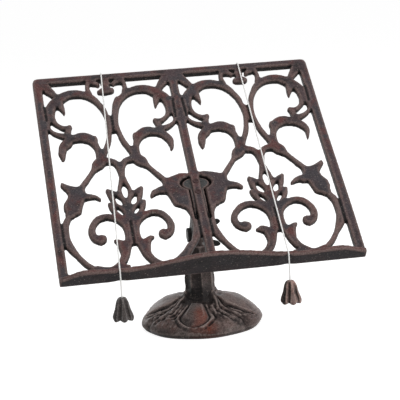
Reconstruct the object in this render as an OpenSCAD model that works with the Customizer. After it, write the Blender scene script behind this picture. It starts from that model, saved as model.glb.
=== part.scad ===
// Cookbook stand: a cast scrollwork bookrest that tilts on a fluted pedestal,
// with two corded weights that hold the pages of a book open.
// The origin is on the table under the middle of the foot, +Z is up and the front faces -Y.
// Panel coordinates are u to the right, s up the slope and n forward from the front face.

/* [Bookrest] */
// Width of the bookrest panel
panel_w = 300; // [280:1:320]
// Height of the panel along its slope
panel_h = 273; // [255:1:290]
// Lean of the panel back from upright, in degrees
lean = 50; // [45:1:55]
// Depth of the frame bars, front to back
frame_t = 8; // [7:0.5:10]
// Width of the two side bars
side_bar_w = 9; // [7:0.5:12]
// Height of the top rail
top_rail_h = 8; // [6:0.5:10]
// Height of the bottom rail behind the ledge
bottom_rail_h = 8; // [6:0.5:10]
// Width of the bar down the middle
centre_bar_w = 9; // [8:0.5:11]
// Radius of the two top corners
corner_r = 6; // [3:0.5:8]

/* [Scrollwork] */
// How far the scrolls lie behind the front of the frame
scroll_recess = 0.8; // [0.4:0.1:1.2]
// How far the scrolls' backs lie in front of the back of the frame
scroll_inset = 1.4; // [1:0.1:2]
// Thickness of the strokes against the drawn ones
stroke_weight = 1; // [0.9:0.01:1.1]
// Radius of the fillets where strokes meet
scroll_fillet = 0.8; // [0.4:0.1:1.2]

/* [Ledge] */
// Thickness of the shelf that carries the book
ledge_t = 4; // [3:0.25:6]
// Reach of the shelf in the middle
ledge_centre = 20; // [16:0.5:26]
// Reach of the shelf at the two dips that the cords cross
ledge_dip = 7.5; // [7:0.1:7.8]
// Reach of the shelf at the bumps near its ends
ledge_bump = 9.5; // [8:0.5:12]
// Reach of the shelf at its two ends
ledge_end = 2; // [1:0.5:4]
// Distance of the dips from the middle
ledge_dip_x = 88; // [84:1:94]
// Distance of the bumps from the middle
ledge_bump_x = 126; // [118:1:132]

/* [Tilt joint] */
// Height of the pivot above the table
pivot_z = 95; // [92:0.5:100]
// Place of the pivot up the slope of the panel
pivot_s = 84; // [80:1:90]
// Distance of the pivot behind the front of the panel
pivot_back = 54; // [50:1:60]
// Thickness of the lug on the stem
lug_t = 8; // [6:0.5:10]
// Radius of the lug's round top
lug_r = 9; // [8:0.25:9.5]
// Thickness of the bracket's ears
ear_t = 2.5; // [2:0.25:4]
// Radius of the ears' round ends
ear_r = 9; // [8:0.25:9.5]
// Diameter of the pivot bolt
bolt_d = 8; // [6:0.5:9]
// Width of the bolt heads across their flats
bolt_head_w = 13; // [11:0.5:15]
// Height of the bolt heads
bolt_head_h = 3.5; // [3:0.25:5]
// Diameter of the washers
washer_d = 16; // [14:0.5:18]
// Thickness of the washers
washer_t = 1.2; // [0.8:0.1:2]
// Length of the wing nut's hub
hub_l = 7; // [5:0.5:9]
// Diameter of the wing nut's hub
hub_d = 13; // [11:0.5:15]
// Reach of each wing from the bolt's axis
wing_reach = 15; // [12:0.5:18]
// Thickness of the wings
wing_t = 2.6; // [2:0.1:4]
// Turn of the wings from upright, in degrees
wing_turn = 12; // [0:1:40]
// Radial clearance of the bolts in their bores
bore_gap = 0.05; // [0.02:0.01:0.1]
// Side clearance between the joint's faces
side_gap = 0.1; // [0.05:0.05:0.3]

/* [Tilt bracket] */
// Thickness of the bracket's plate
plate_t = 3; // [2.5:0.25:5]
// Width of the keyhole recess in front of the plate
keyhole_w = 32.5; // [30:0.5:35]
// Height of the keyhole's oval head
keyhole_h = 19; // [17:0.5:21]
// Place of the oval head's middle up the slope
keyhole_s = 109.5; // [108:0.5:111]
// Width of the keyhole's neck
neck_w = 17; // [16:0.5:20]
// Place of the neck's lower end up the slope
neck_s = 62; // [60:0.5:76]
// Lower end of the arms where they meet the plate, up the slope
arm_low_s = 76; // [74:0.5:78]
// Lap of the plate behind the sides of the keyhole
plate_lap = 3; // [2:0.25:3.5]
// Lap of the plate behind the top of the keyhole
plate_top_lap = 7; // [6:0.25:7.5]
// Diameter of the bracket's screws
screw_d = 4; // [3:0.25:5]
// Diameter of the screws' heads
screw_head_d = 6.5; // [6:0.25:7.5]
// Height of the screws' heads
screw_head_h = 0.8; // [0.6:0.1:1.5]
// Place of the upper screw up the slope
screw_high_s = 110; // [108:0.5:112]
// Place of the lower screw up the slope
screw_low_s = 96; // [95.5:0.5:99]

/* [Pedestal] */
// Diameter of the foot
foot_d = 127; // [118:1:140]
// Height of the seat on the foot that carries the stem
foot_h = 38; // [35:0.5:42]
// Height of the foot's upright rim
foot_rim_h = 4.5; // [3:0.25:6]
// Wall of the foot at its rim
foot_wall = 7; // [6:0.5:8]
// Rise of the foot's two smooth side lobes
lobe_rise = 3.6; // [2.5:0.1:4]
// Rise of the foot's front and back tongues
tongue_rise = 3.4; // [2.5:0.1:4]
// Rise of the four veined leaves between them
leaf_rise = 1.8; // [1:0.1:2.4]
// Turn of the foot's relief from the front, in degrees
foot_turn = -12; // [-20:1:20]
// Diameter of the stem where it meets the foot
stem_foot_d = 33; // [31:0.5:34]
// Diameter of the stem under its shoulder
stem_top_d = 26; // [23:0.5:28]
// Height of the stem's shoulder under the pivot
shoulder_drop = 10.5; // [10:0.25:12]
// Number of flutes round the stem
stem_flutes = 8; // [6:1:10]
// Radius of each flute's hollow
flute_r = 16; // [12:0.5:20]
// Depth of each flute
flute_depth = 1.9; // [1.2:0.1:2.2]
// Depth of the foot bolt's thread in the stem
foot_bolt_in = 22; // [15:1:28]
// Thickness of the foot's crown over the bolt head
crown_t = 10; // [8:0.5:12]

/* [Cords and weights] */
// Diameter of the cords
cord_d = 1.5; // [1.3:0.1:1.6]
// Diameter of the cords' knots
knot_d = 3.8; // [3.4:0.1:4.2]
// Height of the weights' tops above the table
weight_top_z = 63; // [60:0.5:68]
// Height of each weight
weight_h = 22; // [20:0.5:25]
// Diameter of each weight at its lip
weight_d = 21; // [18:0.5:24]
// Diameter of each weight at its top
weight_top_d = 11; // [10:0.25:12]
// Number of flutes round each weight
weight_flutes = 6; // [5:1:8]
// Radial clearance of the cord in the weight
cord_gap = 0.3; // [0.2:0.05:0.4]
// Depth of the pocket for the knot under each weight
knot_room = 6; // [5:0.5:8]

/* [Hidden] */
$fn = 48;

iron = [0.27, 0.23, 0.22];
dark_iron = [0.16, 0.15, 0.14];
black_steel = [0.1, 0.1, 0.1];
cord_white = [0.9, 0.89, 0.86];

// Panel frame: the slope's direction and the panel's forward direction
slope = [0, sin(lean), cos(lean)];
forward = [0, -cos(lean), sin(lean)];
panel_origin = [0, 0, pivot_z] - pivot_s * slope + pivot_back * forward;
scroll_t = frame_t - scroll_recess - scroll_inset;
scroll_back = scroll_recess + scroll_t;
window_w = panel_w / 2 - side_bar_w - centre_bar_w / 2;
window_h = panel_h - top_rail_h - bottom_rail_h;
half_middle = centre_bar_w / 2 + window_w / 2;

// Stem outline: rings as [out, up] from the edge of the stem's foot, and from the edge of its top
stem_in = 1;
stem_low_rings = [[0, 0], [-stem_in, 7], [-1.6, 17]];
stem_high_rings = [[0.6, -14], [0, -4], [-1.6, 0]];

// Scroll drawing: each stroke is a list of [across, up, width], drawn for the outer side
// of one half panel, from its middle line, in the drawing's own window
stroke_steps = 3;
root_in = 3;
loop_line = [
    [17.3, 150.9, 7.2], [12.9, 162.9, 5.6], [7.8, 175.2, 5.7], [4.9, 189.7, 4.8], [4.4, 203, 4],
    [6.3, 219.5, 5.8], [11, 230.8, 6.1], [16.5, 239.5, 7.6], [24.2, 245.4, 8.6], [33.8, 248.2, 9.9],
    [43.3, 247, 10.5], [52.8, 240.5, 12.1], [60.7, 231.7, 10.9], [63.7, 221.7, 11.3], [61.5, 212.2, 7],
    [56.7, 204, 4.2], [50.2, 199.4, 5.8], [45, 200.5, 5.4]
];
thorn_line = [[53.5, 240, 9.9], [51.3, 232, 7.8], [49.5, 225.8, 4.6], [48.5, 221.4, 2.4]];
brace_line = [[71.2, 268, 16], [62, 256.7, 10], [55.8, 247.3, 7], [52.3, 241.8, 3.3]];
side_line = [
    [66.4, 214, 7], [67, 205, 4.4], [65, 197, 3.8], [59.3, 191.7, 4.8], [52.8, 188.6, 6.6], [46.2, 185, 8.4]
];
tip_line = [[48.2, 188, 6.4], [47.2, 195, 6.4], [45.7, 200, 5]];
leaf_line = [
    [19, 153, 8.4], [19.2, 163, 7.1], [21.2, 171.6, 6.9], [25, 180.3, 10.9], [32.9, 185.1, 12.2],
    [40.2, 184.4, 10], [48, 181.6, 8.5], [54.1, 176, 7.8], [57, 170.2, 6], [56.5, 163.7, 3.7],
    [55.6, 158.9, 2.2]
];
lobe_line = [[21, 179.3, 5.9], [21, 182.6, 5]];
stem_line = [
    [14, 151.1, 6.9], [18.2, 149.5, 12], [23.1, 144.6, 12], [27.1, 139, 6.3], [30.7, 133.9, 4.8],
    [37, 124.6, 5.4], [41.6, 118, 6], [45.5, 110.7, 13.6], [49, 102, 15.5], [52, 94.5, 16.6], [55, 88, 18.4],
    [57.2, 83.7, 10.8]
];
bud_tip_line = [[48.2, 113.4, 9.4], [53.3, 116.2, 7.5], [57.6, 120, 4.5], [61.6, 123.5, 3]];
bud_cap_line = [[45, 114, 9], [50, 116.8, 8.4], [56, 118.8, 8], [61, 120, 7.4], [66, 119.6, 6.6], [70, 119, 6]];
bud_cheek_line = [[53.5, 115, 12], [54, 106, 14], [56, 98, 18], [58, 90, 17], [60, 84, 12]];
bud_leaf_line = [
    [43.7, 104.9, 9.1], [37.2, 104, 6.9], [30.9, 103.1, 4.1], [27.5, 100.9, 3.1], [25.7, 98.9, 2.2]
];
foot_line = [
    [59.2, 80, 6], [63, 72.5, 6.6], [65.2, 63.4, 8.4], [65.2, 53, 8.6], [62.2, 42.4, 8], [56, 30.4, 5.2],
    [49.2, 20, 5.4], [41.6, 12.5, 5.2], [34, 8.5, 4.8]
];
arm_line = [[-0.1, 124.3, 5.4], [0.6, 133.3, 6.2], [2.2, 142, 6.6], [6.6, 148, 6.6], [12.7, 149.6, 7.9]];
petal_high = [[1.5, 84.4, 6.5], [6.6, 91.5, 10.2], [10.3, 98.4, 11.5], [13.8, 104.9, 9.2], [17.1, 109.6, 4.3]];
petal_low = [[1.5, 71, 6], [6.1, 77.5, 9], [10.7, 82.6, 10.4], [14.7, 87.5, 8], [17.4, 92, 3.8]];
eye_high = [[4.6, 88.1, 0.8], [7, 92.3, 5.4], [8.3, 96.7, 4.8], [10.5, 101.1, 2]];
eye_low = [[4.3, 74.1, 0.8], [6.8, 78.4, 3], [9.4, 82.8, 3.8], [12, 86.8, 0.8]];
petal_top = [[0, 88, 9.5], [0, 96, 13.4], [0, 104, 15.5], [0, 112, 13.5], [0, 119, 9.6], [0, 126, 6.7]];
eye_top = [[0, 96.3, 0.8], [0, 101, 4.2], [0, 106.4, 5.9], [0, 111.4, 5.6], [0, 115.5, 2]];
spine_line = [[0, 40.8, 5.2], [0, 51.2, 5.8], [0, 65.5, 9.5], [0, 77.6, 7], [0, 91.6, 8]];
volute_line = [
    [30.4, 5, 6], [23.9, 10.5, 6.6], [16.3, 16, 7.3], [11, 25, 8.4], [7.8, 35, 8.4], [4.6, 45, 7.4],
    [4.2, 55, 6.7], [6.1, 64, 6.6], [11.6, 71.5, 6.8], [21.5, 76.2, 6.5], [30.7, 74.2, 6.9], [37, 66.8, 6.6],
    [39.2, 58.3, 7.4], [36.9, 49.8, 7.2], [31.7, 46.1, 6.7]
];
volute_eye = [[30.9, 48.7, 9.7], [30.5, 48.8, 10.3]];
volute_leaf = [[11.4, 26.7, 6.5], [12.2, 36.1, 7.2], [13.8, 42.1, 7.3], [18.1, 45.2, 2.7]];
web_line = [[0, 190.9, 4.2], [0, 200.8, 7.5], [0, 210.2, 5]];
crest_stem = [[0, 268, 9], [0, 260, 8.1], [0, 250.5, 6.9], [0, 248.6, 6.4]];
crest_hook = [[-1.3, 247.9, 4.9], [2.7, 246.9, 2.9], [6.4, 248.4, 3], [6.2, 251.4, 2.2]];
crest_eye = [[5.8, 249.4, 5], [5.2, 249.9, 5.5]];
crest_arc = [[16, 268, 7.9], [19.2, 260.5, 5], [20, 253.5, 4.8], [18.8, 246.5, 6]];
crest_cusp = [[15.7, 263.5, 8.2], [10.8, 261.1, 5.5], [8.1, 258.9, 4]];

// The drawing's window: its strokes root in the frame by root_in
drawn_half_w = brace_line[0][0] - root_in;
drawn_base = volute_line[0][1] + root_in;
drawn_h = crest_stem[0][1] - root_in - drawn_base;

// Cord routes in panel coordinates, from the knot behind the rail to the bend under the ledge
left_route = [
    [-76, 266, -10], [-76, 269, -10.2], [-76, 272, -9.6], [-76, 274, -7.4], [-76, 274.8, -4.4],
    [-76, 274.4, -1.4], [-76, 272.4, 0.8], [-76.2, 269, 1.4], [-77.2, 253, 1.8], [-79, 223, 2.6],
    [-82.8, 161, 4.4], [-86.6, 99, 6.2], [-89.2, 55, 7.4], [-92, 10, 8.6], [-92.4, 3, 8.8],
    [-92.5, 1, 8.8], [-92.5, 0.2, 8.7], [-92.5, -0.6, 8.2], [-92.5, -1.4, 7.3]
];
right_route = [
    [74, 266, -10], [74, 269, -10.2], [74, 272, -9.6], [74, 274, -7.4], [74, 274.8, -4.4],
    [74, 274.4, -1.4], [74, 272.4, 0.8], [74, 269, 1.4], [73.8, 253, 1.9], [73.6, 223, 2.8],
    [73.2, 161, 4.8], [72.8, 99, 6.6], [72.4, 55, 8], [72, 10, 9.2], [72, 3, 9.4],
    [72, 1, 9.4], [72, 0.2, 9.3], [72, -0.6, 8.8], [72, -1.4, 7.9]
];
cord_sides = 8;
knot_seat = 0.3;
drop_gap = 0.8;
drop_steps = 6;
pocket_gap = 1.2;
weight_crown = weight_h - knot_room;

// Foot profile as [radius, height] from the seat to the rim, and the facets that draw it
foot_profile = [
    [stem_foot_d / 2 + 0.6, foot_h], [19, 34.4], [24, 30.4], [32, 26.6], [41, 22.8], [49, 18.6],
    [56, 13.8], [61.2, 9], [foot_d / 2, foot_rim_h]
];
foot_sides = 96;
foot_rows = 3;
tongue_end = 45;
tongue_half = 5;
tongue_flare = 0.26;
lobe_half_turn = 29;
lobe_edge_turn = 7;
lobe_start = 18;
lobe_full = 29;
lobe_end = 50;
leaf_start = 25;
leaf_full = 36;
leaf_end = 59;
leaf_half = 12;
vein_half = 2.4;
vein_depth = 1.3;
root_end = 31;
root_depth = 1.5;
rim_wave = 1.2;
rim_taper = 3;
bolt_r = bolt_d / 2 + bore_gap;
shoulder_z = pivot_z - shoulder_drop;
crown_z = foot_h - crown_t;
ear_x = lug_t / 2 + side_gap;
joint_x = ear_x + ear_t + side_gap;
fork_gap = 2;

// A point of a smooth curve through a list, at a share t of the step after point i
function knot_at(p, i) = p[min(max(i, 0), len(p) - 1)];
function smooth(a, b, c, d, t) =
    0.5 * (2 * b + (c - a) * t + (2 * a - 5 * b + 4 * c - d) * t * t + (3 * b - a - 3 * c + d) * t * t * t);
function curve(p, steps) = concat(
    [for (i = [0:len(p) - 2]) for (k = [0:steps - 1])
        smooth(knot_at(p, i - 1), p[i], p[i + 1], knot_at(p, i + 2), k / steps)],
    [p[len(p) - 1]]
);
function unit(v) = v / norm(v);
function heading(p, i) = unit(knot_at(p, i + 1) - knot_at(p, i - 1));
function flat(p) = [p[0], p[1]];

// The scroll drawing stretched to the panel's own window
function fitted(p) = [
    p[0] * window_w / 2 / drawn_half_w,
    bottom_rail_h + (p[1] - drawn_base) * window_h / drawn_h,
    p[2] * stroke_weight
];
function edge(path, side) = [for (i = [0:len(path) - 1])
    let (way = unit(flat(knot_at(path, i + 1)) - flat(knot_at(path, i - 1))))
    flat(path[i]) + side * path[i][2] / 2 * [-way[1], way[0]]];

// A point of the panel in the stand's frame
function on_slope(p) = panel_origin + [p[0], 0, 0] + p[1] * slope + p[2] * forward;

// Reach of the ledge's wavy front at a distance from its middle
function ease(from, to, t) = from + (to - from) * (1 - cos(180 * t)) / 2;
function ledge_reach(x) =
    x > ledge_bump_x ? ease(ledge_bump, ledge_end, (x - ledge_bump_x) / (panel_w / 2 - ledge_bump_x)) :
    x > ledge_dip_x ? ease(ledge_dip, ledge_bump, (x - ledge_dip_x) / (ledge_bump_x - ledge_dip_x)) :
    ease(ledge_centre, ledge_dip, x / ledge_dip_x);

// Relief of the foot's face at a radius and an angle from the front
function step_up(from, to, x) = let (t = min(max((x - from) / (to - from), 0), 1)) t * t * (3 - 2 * t);
function turn_from(angle, middles) = min([for (m = middles) abs((angle - m + 540) % 360 - 180)]);
function tongue(r, turn) = turn > 80 ? 0 : tongue_rise * (1 - step_up(tongue_end - 5, tongue_end + 1, r))
    * step_up(stem_foot_d / 2, lobe_full, r)
    * (1 - step_up(0.65, 1.1, r * sin(turn) / (tongue_half + tongue_flare * (r - stem_foot_d / 2))));
function side_lobe(r, turn) = lobe_rise
    * step_up(lobe_start, lobe_full, r) * (1 - step_up(lobe_end, foot_d / 2, r))
    * (1 - step_up(lobe_half_turn - lobe_edge_turn / 2, lobe_half_turn + lobe_edge_turn / 2, turn));
function leaf(r, turn) = let (t = r * sin(turn))
    step_up(leaf_start, leaf_full, r) * (1 - step_up(leaf_end - 9, leaf_end, r))
    * (leaf_rise * (1 - step_up(0.3, 1, t / leaf_half)) - vein_depth * (1 - step_up(0, vein_half, t)));
function root(r, angle) = -root_depth * (1 - step_up(stem_foot_d / 2, root_end, r))
    * (1 - cos(stem_flutes * angle)) / 2;
function relief(r, angle) = let (a = angle - foot_turn)
    tongue(r, turn_from(a, [0, 180])) + side_lobe(r, turn_from(a, [90, 270]))
    + leaf(r, turn_from(a, [40, 140, 220, 320])) + root(r, angle);
function root_dip(r, angle) = (flute_depth + 0.6) * (1 - step_up(foot_profile[0][0], root_end, r))
    * (1 - cos(stem_flutes * angle)) / 2;
function rim_dip(r, angle) = rim_wave * step_up(lobe_end, foot_d / 2, r) * (1 - cos(stem_flutes * angle)) / 2;

module on_panel(n) {
    translate(panel_origin) rotate([90 - lean, 0, 0]) translate([0, 0, n]) children();
}

module stroke(line) {
    path = curve([for (p = line) fitted(p)], stroke_steps);
    last = len(path) - 1;
    polygon(concat(edge(path, 1), [for (i = [last:-1:0]) edge(path, -1)[i]]));
    for (i = [0, last]) translate(flat(path[i])) circle(d = path[i][2], $fn = 16);
}

module filleted() {
    offset(r = -scroll_fillet, $fn = 12) offset(r = scroll_fillet, $fn = 12) children();
}

module window() {
    translate([centre_bar_w / 2, bottom_rail_h]) square([window_w, window_h]);
}

module both_sides() {
    children();
    mirror([1, 0]) children();
}

// Keyhole outline with laps at its sides and its top: an oval head on a neck
module keyhole(lap, top_lap) {
    high = keyhole_s + keyhole_h / 2 + top_lap;
    low = keyhole_s - keyhole_h / 2 - lap;
    half_neck = neck_w / 2 + lap;
    polygon([for (a = [0:10:350])
        [(keyhole_w / 2 + lap) * cos(a), (high + low) / 2 + (high - low) / 2 * sin(a)]]);
    translate([-half_neck, neck_s - lap]) square([2 * half_neck, keyhole_s - keyhole_h / 4 - neck_s + lap]);
}

module plate_outline() {
    keyhole(plate_lap, plate_top_lap);
}

// One vine of a half panel: loop, thorn, corner brace, side leaf, curled leaf, bud and foot
module vine_drawing(inner) {
    filleted() {
        stroke(loop_line);
        stroke(thorn_line);
        stroke(brace_line);
        stroke(side_line);
        stroke(tip_line);
        stroke(leaf_line);
        stroke(lobe_line);
        stroke(stem_line);
        stroke(bud_leaf_line);
        stroke(foot_line);
        stroke(inner ? bud_cap_line : bud_tip_line);
        if (inner) stroke(bud_cheek_line);
    }
}

module vine_outline(inner) {
    offset(delta = 0) difference() {
        intersection() {
            translate([half_middle, 0]) mirror([inner ? 1 : 0, 0]) vine_drawing(inner);
            window();
            translate([inner ? 0 : half_middle, 0]) square([inner ? half_middle : panel_w, panel_h]);
        }
        keyhole(0, 0);
    }
}

module palmette_outline() {
    offset(delta = 0) difference() {
        intersection() {
            translate([half_middle, 0]) difference() {
                filleted() {
                    stroke(spine_line);
                    stroke(petal_top);
                    both_sides() {
                        stroke(arm_line);
                        stroke(petal_high);
                        stroke(petal_low);
                        stroke(volute_line);
                        stroke(volute_eye);
                        stroke(volute_leaf);
                    }
                }
                stroke(eye_top);
                both_sides() {
                    stroke(eye_high);
                    stroke(eye_low);
                }
            }
            window();
        }
        vine_outline(false);
        vine_outline(true);
    }
}

module crest_outline() {
    offset(delta = 0) difference() {
        intersection() {
            translate([half_middle, 0]) filleted() {
                stroke(crest_stem);
                stroke(web_line);
                both_sides() {
                    stroke(crest_hook);
                    stroke(crest_eye);
                    stroke(crest_arc);
                    stroke(crest_cusp);
                }
            }
            window();
        }
        vine_outline(false);
        vine_outline(true);
    }
}

// A piece of scrollwork at its depth in the panel, on the right half or the left one
module scrollwork(left) {
    color(iron) on_panel(-scroll_back) linear_extrude(scroll_t) mirror([left ? 1 : 0, 0]) children();
}

module rest_frame() {
    color(iron) difference() {
        union() {
            on_panel(-frame_t) linear_extrude(frame_t) difference() {
                union() {
                    translate([-panel_w / 2, 0]) square([panel_w, panel_h - corner_r]);
                    translate([corner_r - panel_w / 2, 0]) square([panel_w - 2 * corner_r, panel_h]);
                    for (x = [-1, 1]) translate([x * (panel_w / 2 - corner_r), panel_h - corner_r])
                        circle(r = corner_r);
                }
                both_sides() window();
            }
            on_panel(-frame_t) linear_extrude(scroll_inset) plate_outline();
        }
        for (s = [screw_low_s, screw_high_s]) on_panel(-frame_t - 1) translate([0, s, 0])
            cylinder(d = screw_d + 2 * bore_gap, h = frame_t + 2);
    }
}

module book_ledge() {
    step = 4;
    half = [for (x = [0:step:panel_w / 2 - step / 2]) [x, ledge_reach(x)]];
    right = concat(half, [[panel_w / 2, ledge_end], [panel_w / 2, 0]]);
    left = [for (i = [len(right) - 1:-1:1]) [-right[i][0], right[i][1]]];
    color(iron) on_panel(0) translate([0, ledge_t, 0]) rotate([90, 0, 0])
        linear_extrude(ledge_t) polygon(concat(right, left));
}

// Keyhole plate on the panel's back, with an arm that forks into two ears round the lug
module tilt_bracket() {
    arm_half = ear_x + ear_t;
    back = pivot_back - frame_t - plate_t;
    root_high = keyhole_s - keyhole_h / 4 - pivot_s;
    root_low = arm_low_s - pivot_s;
    color(dark_iron) difference() {
        union() {
            on_panel(-frame_t - plate_t) linear_extrude(plate_t) plate_outline();
            on_panel(-pivot_back) translate([-arm_half, pivot_s, 0]) rotate([90, 0, 90])
                linear_extrude(2 * arm_half) polygon([
                    [root_high, back], [root_low, back], [-ear_r, back / 3], [-ear_r, 0], [ear_r, 0],
                    [ear_r, back / 3]
                ]);
            on_panel(-pivot_back) translate([-arm_half, pivot_s, 0]) rotate([0, 90, 0])
                cylinder(r = ear_r, h = 2 * arm_half);
        }
        on_panel(-pivot_back) translate([-ear_x, pivot_s, 0]) rotate([0, 90, 0])
            cylinder(r = lug_r + fork_gap, h = 2 * ear_x);
        on_panel(-pivot_back - 2 * ear_r) translate([-ear_x, pivot_s - 2 * ear_r, 0])
            cube([2 * ear_x, 4 * ear_r, 2 * ear_r]);
        on_panel(-pivot_back) translate([-panel_w / 2, pivot_s, 0]) rotate([0, 90, 0])
            cylinder(r = bolt_r, h = panel_w);
        for (s = [screw_low_s, screw_high_s]) on_panel(-frame_t - plate_t - 1) translate([0, s, 0])
            cylinder(d = screw_d + 2 * bore_gap, h = plate_t + 2);
    }
}

module bracket_screws() {
    color(dark_iron) for (s = [screw_low_s, screw_high_s]) on_panel(0) translate([0, s, 0]) {
        translate([0, 0, -frame_t - plate_t]) cylinder(d = screw_d, h = frame_t + plate_t);
        difference() {
            cylinder(d1 = screw_head_d, d2 = screw_head_d - screw_head_h, h = screw_head_h);
            translate([0, 0, screw_head_h / 3]) cylinder(d = screw_head_d / 2, h = screw_head_h, $fn = 6);
        }
    }
}

// The foot's upper face, turned round in facets, with a hollow underneath
module foot() {
    rows = concat(curve(foot_profile, foot_rows), [[foot_d / 2 - rim_taper, 0]]);
    n = len(rows);
    points = concat(
        [for (j = [0:n - 1]) for (i = [0:foot_sides - 1])
            let (a = 360 * i / foot_sides, r = rows[j][0] - rim_dip(rows[j][0], a) - root_dip(rows[j][0], a))
            [r * sin(a), -r * cos(a), rows[j][1] + (j > 0 && j < n - 2 ? relief(rows[j][0], a) : 0)]],
        [[0, 0, foot_h], [0, 0, 0]]
    );
    faces = concat(
        [for (j = [0:n - 2]) for (i = [0:foot_sides - 1])
            let (k = (i + 1) % foot_sides)
            [j * foot_sides + i, j * foot_sides + k, (j + 1) * foot_sides + k]],
        [for (j = [0:n - 2]) for (i = [0:foot_sides - 1])
            let (k = (i + 1) % foot_sides)
            [j * foot_sides + i, (j + 1) * foot_sides + k, (j + 1) * foot_sides + i]],
        [for (i = [0:foot_sides - 1]) [n * foot_sides, (i + 1) % foot_sides, i]],
        [for (i = [0:foot_sides - 1])
            [n * foot_sides + 1, (n - 1) * foot_sides + i, (n - 1) * foot_sides + (i + 1) % foot_sides]]
    );
    color(iron) difference() {
        polyhedron(points, faces);
        translate([0, 0, -1]) rotate_extrude() polygon([
            [0, 0], [foot_d / 2 - foot_wall, 0], [foot_d / 2 - foot_wall, 2], [foot_d / 2 - 2.6 * foot_wall, 9],
            [washer_d, crown_z + 1], [0, crown_z + 1]
        ]);
        cylinder(r = bolt_r, h = foot_h + 1);
    }
}

module stem() {
    profile = curve(concat(
        [for (p = stem_low_rings) [stem_foot_d / 2 + p[0], foot_h + p[1]]],
        [for (p = stem_high_rings) [stem_top_d / 2 + p[0], shoulder_z + p[1]]]
    ), 2);
    flute_l = shoulder_z - foot_h + 2;
    lean_in = atan((stem_foot_d / 2 - stem_in - stem_top_d / 2) / flute_l);
    color(iron) difference() {
        union() {
            rotate_extrude() polygon(concat(profile, [[0, shoulder_z], [0, foot_h]]));
            translate([-lug_t / 2, -lug_r, shoulder_z - 1]) cube([lug_t, 2 * lug_r, pivot_z - shoulder_z + 1]);
            translate([-lug_t / 2, 0, pivot_z]) rotate([0, 90, 0]) cylinder(r = lug_r, h = lug_t);
        }
        for (i = [0:stem_flutes - 1]) rotate([0, 0, 360 * (i + 0.5) / stem_flutes])
            translate([0, -(stem_foot_d / 2 - stem_in + flute_r - flute_depth), foot_h - 1])
                rotate([-lean_in, 0, 0]) cylinder(r = flute_r, h = flute_l);
        translate([-lug_t, 0, pivot_z]) rotate([0, 90, 0]) cylinder(r = bolt_r, h = 2 * lug_t);
        translate([0, 0, foot_h - 1]) cylinder(r = bolt_r, h = foot_bolt_in + 3);
    }
}

// A hexagon bolt that points up +Z from its head, with the head's upper face at z = 0
module hex_bolt(length) {
    translate([0, 0, -bolt_head_h]) cylinder(d = bolt_head_w / cos(30), h = bolt_head_h, $fn = 6);
    cylinder(d = bolt_d, h = length);
}

module washer() {
    difference() {
        cylinder(d = washer_d, h = washer_t);
        translate([0, 0, -1]) cylinder(r = bolt_r, h = washer_t + 2);
    }
}

module foot_bolt() {
    color(black_steel) translate([0, 0, crown_z - washer_t]) hex_bolt(washer_t + crown_t + foot_bolt_in);
}

module foot_washer() {
    color(black_steel) translate([0, 0, crown_z - washer_t]) washer();
}

module pivot_bolt() {
    color(black_steel) translate([-joint_x, 0, pivot_z]) rotate([0, 90, 0])
        hex_bolt(2 * joint_x + washer_t + side_gap + hub_l + 2);
}

module pivot_washer() {
    color(black_steel) translate([joint_x, 0, pivot_z]) rotate([0, 90, 0]) washer();
}

module wing_nut() {
    hub_x = joint_x + washer_t + side_gap;
    wing = curve([
        [0, 0.5], [hub_d / 2 - 1, 0.5], [hub_d / 2 + 2.5, 3], [wing_reach - 1.5, hub_l - 1],
        [wing_reach, hub_l + 6], [wing_reach - 2, hub_l + 9.5], [wing_reach - 5, hub_l + 7],
        [hub_d / 2 + 1, hub_l + 0.5], [hub_d / 2 - 2, hub_l - 0.5], [0, hub_l - 0.5]
    ], 3);
    color(black_steel) translate([hub_x, 0, pivot_z]) rotate([wing_turn, 0, 0]) rotate([0, 90, 0])
        difference() {
            union() {
                cylinder(d1 = hub_d, d2 = hub_d - 2, h = hub_l);
                for (turn = [0, 180]) rotate([0, 0, turn]) translate([0, wing_t / 2, 0]) rotate([90, 0, 0])
                    linear_extrude(wing_t) polygon(wing);
            }
            translate([0, 0, -1]) cylinder(r = bolt_r, h = 3 * hub_l);
        }
}

// A tube of the cord's diameter swept along points
module cord_tube(points) {
    last = len(points) - 1;
    rings = [for (i = [0:last])
        let (way = heading(points, i), side = unit(cross(way, [1, 0, 0])), across = cross(side, way))
        for (k = [0:cord_sides - 1])
            points[i] + cord_d / 2 * (cos(360 * k / cord_sides) * across + sin(360 * k / cord_sides) * side)];
    walls = [for (i = [0:last - 1]) for (k = [0:cord_sides - 1])
        let (a = i * cord_sides + k, b = i * cord_sides + (k + 1) % cord_sides)
        [a, b, b + cord_sides, a + cord_sides]];
    ends = [
        [for (k = [cord_sides - 1:-1:0]) k],
        [for (k = [0:cord_sides - 1]) last * cord_sides + k]
    ];
    color(cord_white) polyhedron(rings, concat(walls, ends));
}

module cord_run(route) {
    cord_tube([for (p = route) on_slope(p)]);
}

// The plumb end of a cord, from its bend under the ledge to the knot inside the weight
module cord_drop(route) {
    top = on_slope(route[len(route) - 1]);
    start_z = top[2] - drop_gap;
    end_z = weight_top_z - weight_crown - knot_seat;
    cord_tube([for (k = [0:drop_steps]) [top[0], top[1], start_z + (end_z - start_z) * k / drop_steps]]);
}

module cord_knot(route) {
    color(cord_white) translate(on_slope(route[0])) sphere(d = knot_d, $fn = 24);
}

module weight_knot(route) {
    top = on_slope(route[len(route) - 1]);
    color(cord_white) translate([top[0], top[1], weight_top_z - weight_crown - knot_seat - knot_d / 2])
        sphere(d = knot_d, $fn = 24);
}

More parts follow.
